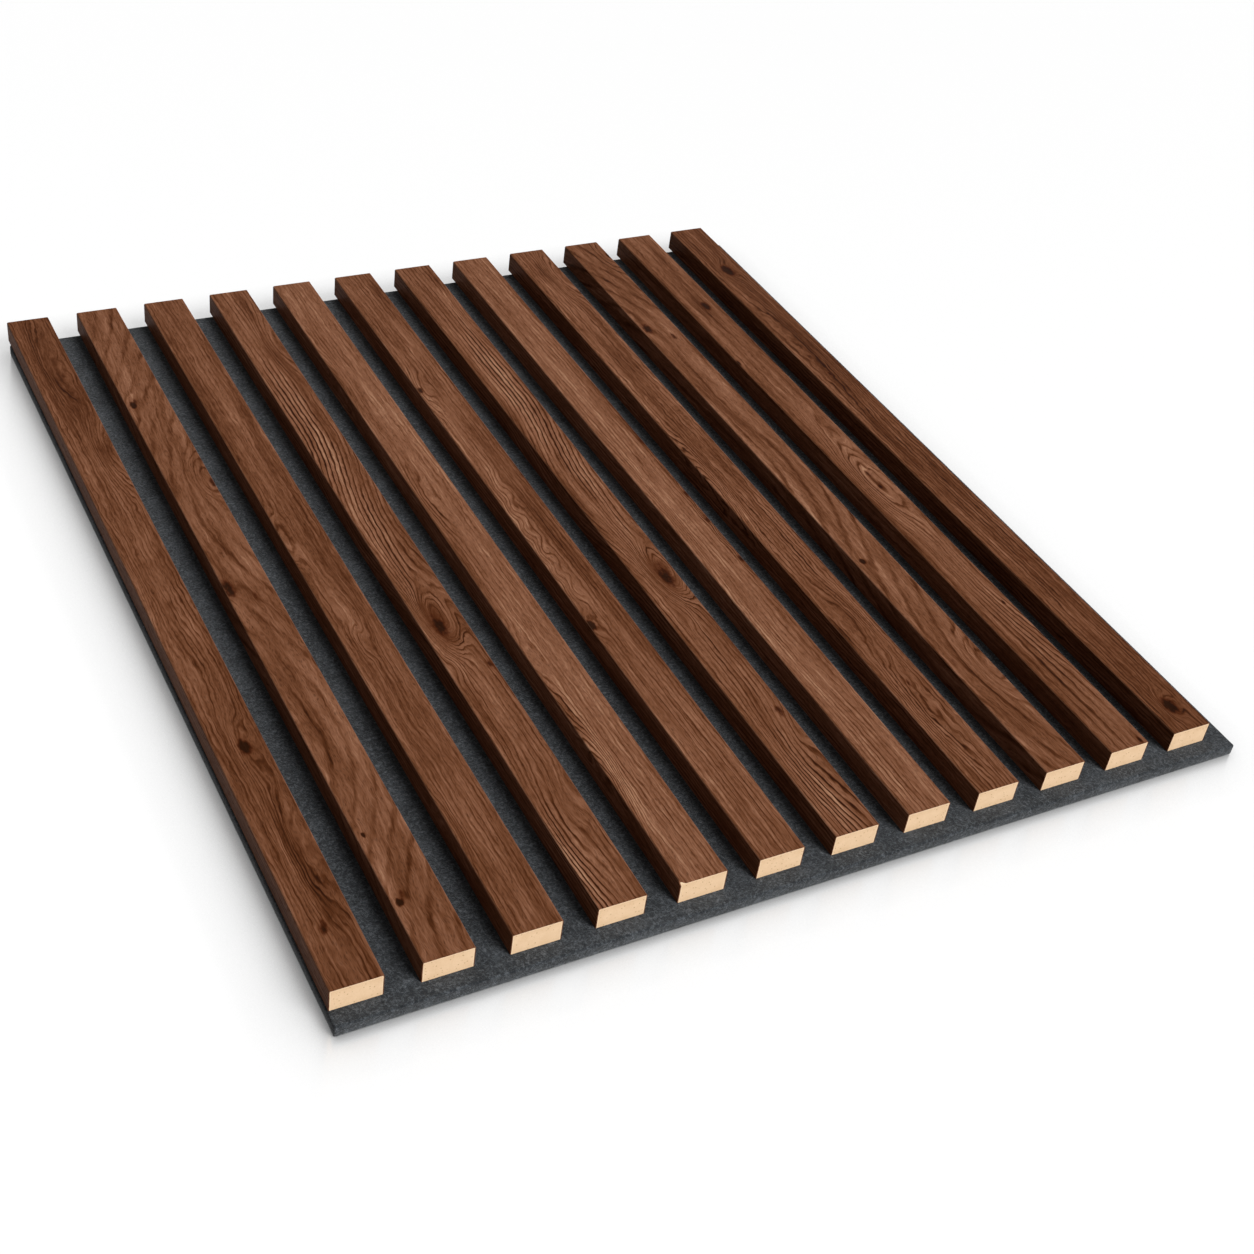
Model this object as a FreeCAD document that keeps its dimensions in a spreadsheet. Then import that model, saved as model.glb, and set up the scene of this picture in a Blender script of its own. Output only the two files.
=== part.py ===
import FreeCAD, Part
import math
import os

import Sketcher
from FreeCAD import Vector

# Acoustic slat wall panel, lying on its back with the slats up.
# Veneered fibreboard slats stand on a sheet of needled felt and are stapled to it from behind.
# X runs across the slats, Y along them from the near ends to the far ends, and Z points up.
# The origin is at the middle of the panel's outer box, on the surface that it lies on.

# Driving dimensions: alias, value (millimetres, or a plain count) and meaning.
SIZES = (
    ("slat_count", 12, "slats across the panel"),
    ("slat_pitch", 50.0, "from one slat to the next"),
    ("slat_width", 29.5, "finished slat, veneer included"),
    ("slat_height", 15.0, "finished slat above the felt, veneer included"),
    ("slat_length", 660.0, "all slats are cut to one length"),
    ("veneer_thickness", 0.5, "walnut veneer over the top and both sides"),
    ("core_edge_radius", 0.5, "eased long top edges of the fibreboard core"),
    ("felt_thickness", 8.0, "needled polyester felt"),
    ("felt_left_margin", 1.0, "felt outside the first slat"),
    ("felt_right_lap", 17.5, "felt outside the last slat, which the next panel covers"),
    ("felt_near_lap", 11.0, "felt in front of the near slat ends"),
    ("felt_far_setback", 6.0, "the slats overhang the far edge of the felt by this"),
    ("felt_corner_radius", 2.0, "corners of the sheet, seen from above"),
    ("felt_edge_radius", 1.2, "soft top and bottom edges of the sheet"),
    ("staples_per_slat", 3, "staples along one slat"),
    ("staple_end_margin", 75.0, "from a slat end to its outermost staple"),
    ("staple_crown", 11.0, "staple, outside width across both legs"),
    ("staple_wire", 0.7, "wire thickness in the plane of the staple"),
    ("staple_wire_width", 1.2, "wire width along the slat"),
    ("staple_bend_radius", 0.6, "outside of the two bends"),
    ("staple_point", 1.5, "height of the slanted leg tips"),
    ("staple_bite", 6.5, "depth that a leg reaches into the core"),
    ("staple_recess", 0.4, "the crown is pressed this far into the back of the felt"),
    ("staple_clearance", 0.05, "gap between a leg and its hole"),
    ("staple_tip_clearance", 0.3, "end of a leg hole beyond the leg"),
    ("chip_width", 4.5, "chipped slat corner, across the slat"),
    ("chip_height", 1.8, "chipped slat corner, down the end face"),
    ("chip_length", 3.5, "chipped slat corner, along the slat"),
)
CHIPPED_SLAT = 5

# Sizes that follow from the driving ones, as expressions on the sheet.
FELT_WIDTH = (
    "(sizes.felt_left_margin + (sizes.slat_count - 1) * sizes.slat_pitch"
    " + sizes.slat_width + sizes.felt_right_lap)"
)
FELT_LENGTH = "(sizes.felt_near_lap + sizes.slat_length - sizes.felt_far_setback)"
PANEL_LENGTH = f"({FELT_LENGTH} + max(sizes.felt_far_setback; 0))"
PANEL_LEFT = f"(0 - {FELT_WIDTH} / 2)"
PANEL_NEAR = f"(0 - {PANEL_LENGTH} / 2)"
FIRST_SLAT_LEFT = f"({PANEL_LEFT} + sizes.felt_left_margin)"
SLAT_NEAR = f"({PANEL_NEAR} + sizes.felt_near_lap)"
FELT_ROUNDING = "min(sizes.felt_edge_radius; sizes.felt_thickness * 0.4)"
STAPLE_SPACING = (
    "((sizes.slat_length - 2 * sizes.staple_end_margin) / (sizes.staples_per_slat - 1))"
)
STAPLE_ROW = "((sizes.staples_per_slat - 1) * " + STAPLE_SPACING + ")"
SLAT_ROW = "((sizes.slat_count - 1) * sizes.slat_pitch)"
LEG_LENGTH = "(sizes.felt_thickness - sizes.staple_recess + sizes.staple_bite)"

doc = FreeCAD.newDocument("acoustic_slat_panel")


def make_sheet():
    """Write the driving dimensions into the spreadsheet, one aliased cell each."""
    sheet = doc.addObject("Spreadsheet::Sheet", "sizes")
    for row, (alias, value, meaning) in enumerate(SIZES, start=1):
        sheet.set(f"A{row}", alias)
        sheet.set(f"B{row}", str(value))
        sheet.set(f"C{row}", meaning)
        sheet.setAlias(f"B{row}", alias)
    doc.recompute()
    return sheet


sheet = make_sheet()


def value_of(expression):
    """Return the number that an expression on the sheet gives now."""
    result = sheet.evalExpression(expression)
    return float(getattr(result, "Value", result))


def new_body(name, left, near, bottom):
    """Add a body whose own origin sits at the given place in the panel."""
    body = doc.addObject("PartDesign::Body", name)
    body.Label = name
    body.setExpression("Placement.Base.x", left)
    body.setExpression("Placement.Base.y", near)
    body.setExpression("Placement.Base.z", bottom)
    return body


def origin_feature(body, role):
    """Return one of the body's own origin planes or axes."""
    return next(part for part in body.Origin.OriginFeatures if part.Role == role)


def new_sketch(body, name, plane, lift="0"):
    """Add a sketch on one of the body's origin planes, lifted along the plane's normal."""
    sketch = body.newObject("Sketcher::SketchObject", name)
    sketch.AttachmentSupport = [(origin_feature(body, plane), "")]
    sketch.MapMode = "FlatFace"
    sketch.setExpression("AttachmentOffset.Base.z", lift)
    return sketch


def bind(sketch, constraint, expression):
    """Add a dimensional constraint and tie it to the sheet."""
    index = sketch.addConstraint(constraint)
    sketch.setExpression(f"Constraints[{index}]", expression)


def add_outline(sketch, corners):
    """Draw one closed outline of straight sides through corners given as expressions.

    Each corner is (x, y) when it is sharp and (x, y, radius) when it is rounded. The sides beside a
    rounded corner are horizontal or vertical.
    """
    places = [Vector(value_of(corner[0]), value_of(corner[1]), 0) for corner in corners]
    radii = [value_of(corner[2]) if len(corner) > 2 else 0.0 for corner in corners]
    count = len(corners)
    ways = [(places[(i + 1) % count] - places[i]).normalize() for i in range(count)]

    # Straight sides, each shortened where a rounding takes over from it.
    sides = []
    for i in range(count):
        following = (i + 1) % count
        start = places[i] + ways[i] * radii[i]
        end = places[following] - ways[i] * radii[following]
        sides.append(sketch.addGeometry(Part.LineSegment(start, end), False))

    for i in range(count):
        before = sides[i - 1]
        after = sides[i]
        if radii[i] == 0.0:
            sketch.addConstraint(Sketcher.Constraint("Coincident", before, 2, after, 1))
            add_place(sketch, after, 1, corners[i])
        else:
            add_rounding(sketch, before, after, places[i], ways[i - 1], ways[i], corners[i][2])

    # A side beside a rounding still needs its direction, and its place if both its ends are round.
    for i in range(count):
        following = (i + 1) % count
        if radii[i] == 0.0 and radii[following] == 0.0:
            continue
        level = abs(ways[i].x) > abs(ways[i].y)
        sketch.addConstraint(Sketcher.Constraint("Horizontal" if level else "Vertical", sides[i]))
        if radii[i] and radii[following]:
            axis, which = ("DistanceY", 1) if level else ("DistanceX", 0)
            here = places[i][which]
            bind(sketch, Sketcher.Constraint(axis, -1, 1, sides[i], 1, here), corners[i][which])


def add_place(sketch, geometry, end, corner):
    """Fix one end of a side at a corner's two expressions."""
    for kind, expression in zip(("DistanceX", "DistanceY"), corner):
        here = value_of(expression)
        bind(sketch, Sketcher.Constraint(kind, -1, 1, geometry, end, here), expression)


def add_rounding(sketch, before, after, corner, way_in, way_out, radius_expression):
    """Round a square corner with an arc that runs smoothly into both sides."""
    radius = value_of(radius_expression)
    centre = corner - way_in * radius + way_out * radius
    turns_left = way_in.cross(way_out).z > 0
    first = -way_out if turns_left else way_in
    start_angle = math.atan2(first.y, first.x)
    circle = Part.Circle(centre, Vector(0, 0, 1), radius)
    arc = sketch.addGeometry(Part.ArcOfCircle(circle, start_angle, start_angle + math.pi / 2), False)
    arc_in, arc_out = (1, 2) if turns_left else (2, 1)
    sketch.addConstraint(Sketcher.Constraint("Tangent", before, 2, arc, arc_in))
    sketch.addConstraint(Sketcher.Constraint("Tangent", arc, arc_out, after, 1))
    bind(sketch, Sketcher.Constraint("Radius", arc, radius), radius_expression)


def add_rectangle(sketch, left, bottom, right, top):
    """Draw a rectangle between two opposite corners."""
    add_outline(sketch, [(left, bottom), (right, bottom), (right, top), (left, top)])


def add_pad(body, name, sketch, length, reverse=False):
    """Extrude a sketch into the body."""
    pad = body.newObject("PartDesign::Pad", name)
    pad.Profile = sketch
    pad.Reversed = reverse
    pad.setExpression("Length", length)
    doc.recompute()
    return pad


def add_pocket(body, name, sketch, depth):
    """Cut a sketch upwards into the body, and make sure that it took something away."""
    before = body.Shape.Volume
    pocket = body.newObject("PartDesign::Pocket", name)
    pocket.Profile = sketch
    pocket.Reversed = True
    pocket.setExpression("Length", depth)
    doc.recompute()
    if body.Shape.Volume >= before:
        raise RuntimeError(f"{body.Label}: {name} cuts nothing")
    return pocket


def new_pattern(body, name, axis, extent, copies):
    """Add a straight pattern along one of the body's own axes."""
    pattern = body.newObject("PartDesign::LinearPattern", name)
    pattern.Direction = (origin_feature(body, axis), [""])
    pattern.setExpression("Length", extent)
    pattern.setExpression("Occurrences", copies)
    return pattern


def repeat_along_slat(body, features):
    """Repeat features at every staple of one slat."""
    pattern = new_pattern(body, "StapleRow", "Y_Axis", STAPLE_ROW, "sizes.staples_per_slat")
    pattern.Originals = features
    body.Tip = pattern
    doc.recompute()


def repeat_over_panel(body, features):
    """Repeat features at every staple of every slat."""
    multi = body.newObject("PartDesign::MultiTransform", "StapleGrid")
    multi.Originals = features
    along = new_pattern(body, "AlongSlats", "Y_Axis", STAPLE_ROW, "sizes.staples_per_slat")
    across = new_pattern(body, "AcrossSlats", "X_Axis", SLAT_ROW, "sizes.slat_count")
    multi.Transformations = [along, across]
    body.Tip = multi
    doc.recompute()


def leg_hole_corners(side, centre_x, centre_y):
    """Return the two opposite corners of one leg hole, on the side -1 or 1 of the staple."""
    gap = "sizes.staple_clearance"
    outer = f"({centre_x} + {side} * (sizes.staple_crown / 2 + {gap}))"
    inner = f"({centre_x} + {side} * (sizes.staple_crown / 2 - sizes.staple_wire - {gap}))"
    half = f"(sizes.staple_wire_width / 2 + {gap})"
    left, right = (inner, outer) if side > 0 else (outer, inner)
    return left, f"({centre_y} - {half})", right, f"({centre_y} + {half})"


def make_felt():
    """Make the felt sheet, with a seat in its back for the crown of every staple."""
    body = new_body("felt_backing", PANEL_LEFT, PANEL_NEAR, "0")
    corner = "sizes.felt_corner_radius"
    outline = new_sketch(body, "SheetOutline", "XY_Plane")
    add_outline(outline, [
        ("0", "0", corner),
        (FELT_WIDTH, "0", corner),
        (FELT_WIDTH, FELT_LENGTH, corner),
        ("0", FELT_LENGTH, corner),
    ])
    sheet_pad = add_pad(body, "Sheet", outline, "sizes.felt_thickness")

    thickness = value_of("sizes.felt_thickness")
    rims = []
    for number, edge in enumerate(sheet_pad.Shape.Edges, start=1):
        heights = [vertex.Z for vertex in edge.Vertexes]
        if max(heights) < 0.01 or min(heights) > thickness - 0.01:
            rims.append(f"Edge{number}")
    fillet = body.newObject("PartDesign::Fillet", "SoftEdges")
    fillet.Base = (sheet_pad, rims)
    fillet.setExpression("Radius", FELT_ROUNDING)
    doc.recompute()

    centre_x = "(sizes.felt_left_margin + sizes.slat_width / 2)"
    centre_y = "(sizes.felt_near_lap + sizes.staple_end_margin)"
    left = leg_hole_corners(-1, centre_x, centre_y)
    right = leg_hole_corners(1, centre_x, centre_y)
    seat = new_sketch(body, "CrownSeatOutline", "XY_Plane")
    add_rectangle(seat, left[0], left[1], right[2], right[3])
    crown_seat = add_pocket(body, "CrownSeat", seat, "sizes.staple_recess + sizes.staple_wire")
    legs = new_sketch(body, "LegHoleOutlines", "XY_Plane")
    add_rectangle(legs, *left)
    add_rectangle(legs, *right)
    leg_holes = add_pocket(body, "LegHoles", legs, "sizes.felt_thickness")
    repeat_over_panel(body, [crown_seat, leg_holes])


def slat_left(index):
    """Return the expression for the left side of a slat, counted from 1."""
    return f"({FIRST_SLAT_LEFT} + {index - 1} * sizes.slat_pitch)"


def make_core(index):
    """Make one fibreboard core, with blind holes where the staple legs bite into it."""
    body = new_body(f"slat_core_{index:02d}", slat_left(index), SLAT_NEAR, "sizes.felt_thickness")
    skin = "sizes.veneer_thickness"
    right = f"(sizes.slat_width - {skin})"
    top = f"(sizes.slat_height - {skin})"
    section = new_sketch(body, "Section", "XZ_Plane")
    add_outline(section, [
        (skin, "0"),
        (right, "0"),
        (right, top, "sizes.core_edge_radius"),
        (skin, top, "sizes.core_edge_radius"),
    ])
    add_pad(body, "Bar", section, "sizes.slat_length", reverse=True)
    if index == CHIPPED_SLAT:
        chip_corner(body)

    holes = new_sketch(body, "LegHoleOutlines", "XY_Plane")
    for side in (-1, 1):
        corners = leg_hole_corners(side, "sizes.slat_width / 2", "sizes.staple_end_margin")
        add_rectangle(holes, *corners)
    depth = "sizes.staple_bite + sizes.staple_tip_clearance"
    repeat_along_slat(body, [add_pocket(body, "LegHoles", holes, depth)])


def make_veneer(index):
    """Make the veneer that wraps the top and both sides of one core."""
    name = f"slat_veneer_{index:02d}"
    body = new_body(name, slat_left(index), SLAT_NEAR, "sizes.felt_thickness")
    skin = "sizes.veneer_thickness"
    inner_right = f"(sizes.slat_width - {skin})"
    inner_top = f"(sizes.slat_height - {skin})"
    inner_radius = "sizes.core_edge_radius"
    outer_radius = f"(sizes.core_edge_radius + {skin})"
    section = new_sketch(body, "Section", "XZ_Plane")
    add_outline(section, [
        ("0", "0"),
        (skin, "0"),
        (skin, inner_top, inner_radius),
        (inner_right, inner_top, inner_radius),
        (inner_right, "0"),
        ("sizes.slat_width", "0"),
        ("sizes.slat_width", "sizes.slat_height", outer_radius),
        ("0", "sizes.slat_height", outer_radius),
    ])
    add_pad(body, "Wrap", section, "sizes.slat_length", reverse=True)
    if index == CHIPPED_SLAT:
        chip_corner(body)


def chip_corner(body):
    """Break away the near left top corner of a slat along one slanting facet."""
    before = body.Shape.Volume
    chip = body.newObject("PartDesign::SubtractiveWedge", "ChippedCorner")
    chip.AttachmentSupport = [(origin_feature(body, "XY_Plane"), "")]
    chip.MapMode = "FlatFace"

    # The wedge's floor is the facet. It starts on the end face, along a line from the top down to
    # the side, and rises until it runs out at the corner.
    chip.AttachmentOffset = FreeCAD.Placement(Vector(), FreeCAD.Rotation(Vector(0, -1, 0), 20))
    chip.setExpression("AttachmentOffset.Base.x", "sizes.chip_width")
    chip.setExpression("AttachmentOffset.Base.z", "sizes.slat_height")
    chip.setExpression("AttachmentOffset.Rotation.Angle", "atan(sizes.chip_height / sizes.chip_width)")
    facet = "sqrt(sizes.chip_width ^ 2 + sizes.chip_height ^ 2)"
    rise = f"(sizes.chip_width * sizes.chip_height / {facet})"
    bounds = {
        "Xmin": f"0 - 2 * {facet}", "Xmax": facet, "X2min": f"0 - 2 * {facet}", "X2max": facet,
        "Ymin": "0", "Ymax": "sizes.chip_length",
        "Zmin": "0", "Zmax": f"{rise} * 2", "Z2min": rise, "Z2max": f"{rise} * 2",
    }
    for bound, expression in bounds.items():
        chip.setExpression(bound, expression)
    doc.recompute()
    if body.Shape.Volume >= before:
        raise RuntimeError(f"{body.Label}: the chip cuts nothing")


def make_staples():
    """Make all the staples, as separate solids of one node."""
    left = f"({FIRST_SLAT_LEFT} + sizes.slat_width / 2)"
    near = f"({SLAT_NEAR} + sizes.staple_end_margin)"
    body = new_body("staples", left, near, "sizes.staple_recess")
    body.AllowCompound = True
    half = "sizes.staple_crown / 2"
    inner = f"({half} - sizes.staple_wire)"
    shoulder = f"({LEG_LENGTH} - sizes.staple_point)"
    bend = "sizes.staple_bend_radius"
    wire = new_sketch(body, "WireOutline", "XZ_Plane", "0 - sizes.staple_wire_width / 2")
    add_outline(wire, [
        (f"0 - {half}", "0", bend),
        (half, "0", bend),
        (half, shoulder),
        (inner, LEG_LENGTH),
        (inner, "sizes.staple_wire"),
        (f"0 - {inner}", "sizes.staple_wire"),
        (f"0 - {inner}", LEG_LENGTH),
        (f"0 - {half}", shoulder),
    ])
    staple = add_pad(body, "Staple", wire, "sizes.staple_wire_width")
    repeat_over_panel(body, [staple])


def build():
    """Make every piece of the panel."""
    make_felt()
    for index in range(1, int(value_of("sizes.slat_count")) + 1):
        make_core(index)
        make_veneer(index)
    make_staples()
    doc.recompute()


def check():
    """Stop when an object of the document has failed or a piece is not a sound solid."""
    for item in doc.Objects:
        if "Invalid" in item.State or "Error" in item.State:
            raise RuntimeError(f"{item.Label} failed: {item.State}")
    bodies = [item for item in doc.Objects if item.isDerivedFrom("PartDesign::Body")]
    for body in bodies:
        if body.Shape.isNull() or not body.Shape.isValid() or not body.Shape.Solids:
            raise RuntimeError(f"{body.Label} has no sound shape")
    staples = value_of("sizes.slat_count * sizes.staples_per_slat")
    found = len(doc.getObject("staples").Shape.Solids)
    if found != staples:
        raise RuntimeError(f"{found} staples instead of {staples:.0f}")
    return bodies


def export(bodies):
    """Write one file for each piece."""
    os.makedirs("parts", exist_ok=True)
    for body in bodies:
        body.Shape.exportStep(os.path.join("parts", f"{body.Label}.step"))
        box = body.Shape.BoundBox
        print(f"{body.Label}: {len(body.Shape.Solids)} solid(s), volume {body.Shape.Volume:.1f},"
              f" X {box.XMin:.2f} to {box.XMax:.2f}, Y {box.YMin:.2f} to {box.YMax:.2f},"
              f" Z {box.ZMin:.2f} to {box.ZMax:.2f}")


build()
export(check())
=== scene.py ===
"""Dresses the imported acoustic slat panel: walnut veneered slats on a felt board, on a pale studio floor."""

import logging
import math
from dataclasses import dataclass
from dataclasses import field
from enum import Enum
from typing import Union

import bmesh
import bpy
from mathutils import Matrix
from mathutils import Vector
from mathutils import noise

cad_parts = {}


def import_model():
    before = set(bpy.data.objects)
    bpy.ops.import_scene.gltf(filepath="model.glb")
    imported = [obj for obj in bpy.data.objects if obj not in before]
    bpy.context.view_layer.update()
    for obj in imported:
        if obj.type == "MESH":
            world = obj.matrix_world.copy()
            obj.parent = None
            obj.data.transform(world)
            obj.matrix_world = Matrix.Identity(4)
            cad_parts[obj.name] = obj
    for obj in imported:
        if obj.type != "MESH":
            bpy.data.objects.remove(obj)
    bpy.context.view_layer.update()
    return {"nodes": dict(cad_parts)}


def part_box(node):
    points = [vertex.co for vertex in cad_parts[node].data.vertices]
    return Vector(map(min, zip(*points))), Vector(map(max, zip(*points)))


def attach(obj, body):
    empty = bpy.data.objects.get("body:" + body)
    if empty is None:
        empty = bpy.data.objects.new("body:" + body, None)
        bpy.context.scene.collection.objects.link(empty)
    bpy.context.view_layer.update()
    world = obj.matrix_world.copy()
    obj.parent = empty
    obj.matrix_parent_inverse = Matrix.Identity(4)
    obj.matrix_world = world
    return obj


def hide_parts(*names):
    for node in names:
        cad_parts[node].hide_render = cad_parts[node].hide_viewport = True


LOG = logging.getLogger("slat_panel")
MM = 0.001

Feed = Union[bpy.types.Node, bpy.types.NodeSocket, float, tuple]


def linear(hex_colour: str) -> tuple[float, float, float, float]:
    """Turns an sRGB hex colour into the linear colour that a shader takes.

    Args:
        hex_colour: Colour such as "#6F4732".

    Returns:
        Red, green, blue and an alpha of 1.
    """
    digits = hex_colour.lstrip("#")
    parts = [int(digits[place:place + 2], 16) / 255 for place in (0, 2, 4)]
    made = [part / 12.92 if part <= 0.04045 else ((part + 0.055) / 1.055) ** 2.4 for part in parts]
    return made[0], made[1], made[2], 1.0


def add_node(
    tree: bpy.types.NodeTree,
    kind: str,
    inputs: dict[Union[int, str], Feed],
    stops: tuple[tuple[float, str], ...] = (),
    **settings: object,
) -> bpy.types.Node:
    """Adds one node with its settings, its values and its links.

    Args:
        tree: Node tree that gets the node.
        kind: Blender's own name for the node.
        inputs: What each socket gets: a value, or the node or output that it is linked from.
        stops: Places and hex colours, where the node is a colour ramp.
        settings: The node's own properties, such as the operation of a Math node.

    Returns:
        The new node.
    """
    node = tree.nodes.new(kind)
    for name, value in settings.items():
        setattr(node, name, value)
    for place, value in inputs.items():
        socket = node.inputs[place]
        if isinstance(value, bpy.types.Node):
            tree.links.new(value.outputs[0], socket)
        elif isinstance(value, bpy.types.NodeSocket):
            tree.links.new(value, socket)
        else:
            socket.default_value = value
    if stops:
        elements = node.color_ramp.elements
        while len(elements) < len(stops):
            elements.new(0.5)
        for element, (place, colour) in zip(elements, stops):
            element.position = place
            element.color = linear(colour)
    return node


def new_material(name: str) -> tuple[bpy.types.Material, bpy.types.NodeTree]:
    """Makes an empty material with nodes.

    Args:
        name: Name of the material, after what the real one is.

    Returns:
        The material and its node tree.
    """
    material = bpy.data.materials.new(name)
    material.use_nodes = True
    material.node_tree.nodes.clear()
    return material, material.node_tree


def dress(piece: bpy.types.Object, material: bpy.types.Material) -> None:
    """Gives a piece or a CAD node one material all over."""
    piece.data.materials.clear()
    piece.data.materials.append(material)


def new_piece(name: str, mesh: bmesh.types.BMesh, closed: bool = True) -> bpy.types.Object:
    """Turns a finished bmesh into an object at the origin.

    Args:
        name: Name of the piece.
        mesh: The shape, in metres and in place. It is freed.
        closed: Whether it is a closed shell, whose faces are then turned outwards.

    Returns:
        The new object.
    """
    if closed:
        bmesh.ops.recalc_face_normals(mesh, faces=mesh.faces)
    data = bpy.data.meshes.new(name)
    mesh.to_mesh(data)
    mesh.free()
    piece = bpy.data.objects.new(name, data)
    bpy.context.scene.collection.objects.link(piece)
    return piece


class Figure(Enum):
    """How the growth lines run over a sheet.

    The numbers are the lines to each mm across, the mm that they drift by over 100 mm, how closely the fine grain
    follows them, where between two lines the wood is darkest, and over how much of the way it darkens.
    """

    QUARTERED = (0.36, 1.5, 0.7, 0.80, 0.38)
    FLAT_SAWN = (0.08, 3.0, 0.25, 0.80, 0.26)
    CATHEDRAL = (0.16, 2.0, 0.6, 0.82, 0.36)
    FINE_STRIPED = (0.31, 2.0, 0.8, 0.84, 0.38)


@dataclass(frozen=True)
class Patch:
    """An oval place on a sheet, in mm across from its left fold and along from its near end.

    The amount says how much it does: growth lines that it pushes aside, or how far it darkens the wood.
    """

    across: float
    along: float
    half_width: float
    half_length: float
    amount: float
    turn: float = 0.0


@dataclass(frozen=True)
class WalnutSheet:
    """One sheet of sliced walnut, as it lies over one slat."""

    figure: Figure
    lift: float
    wander: float
    veins: float
    swirls: tuple[Patch, ...] = ()
    knots: tuple[Patch, ...] = ()
    stains: tuple[Patch, ...] = ()
    stripes: tuple[Patch, ...] = ()


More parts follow.
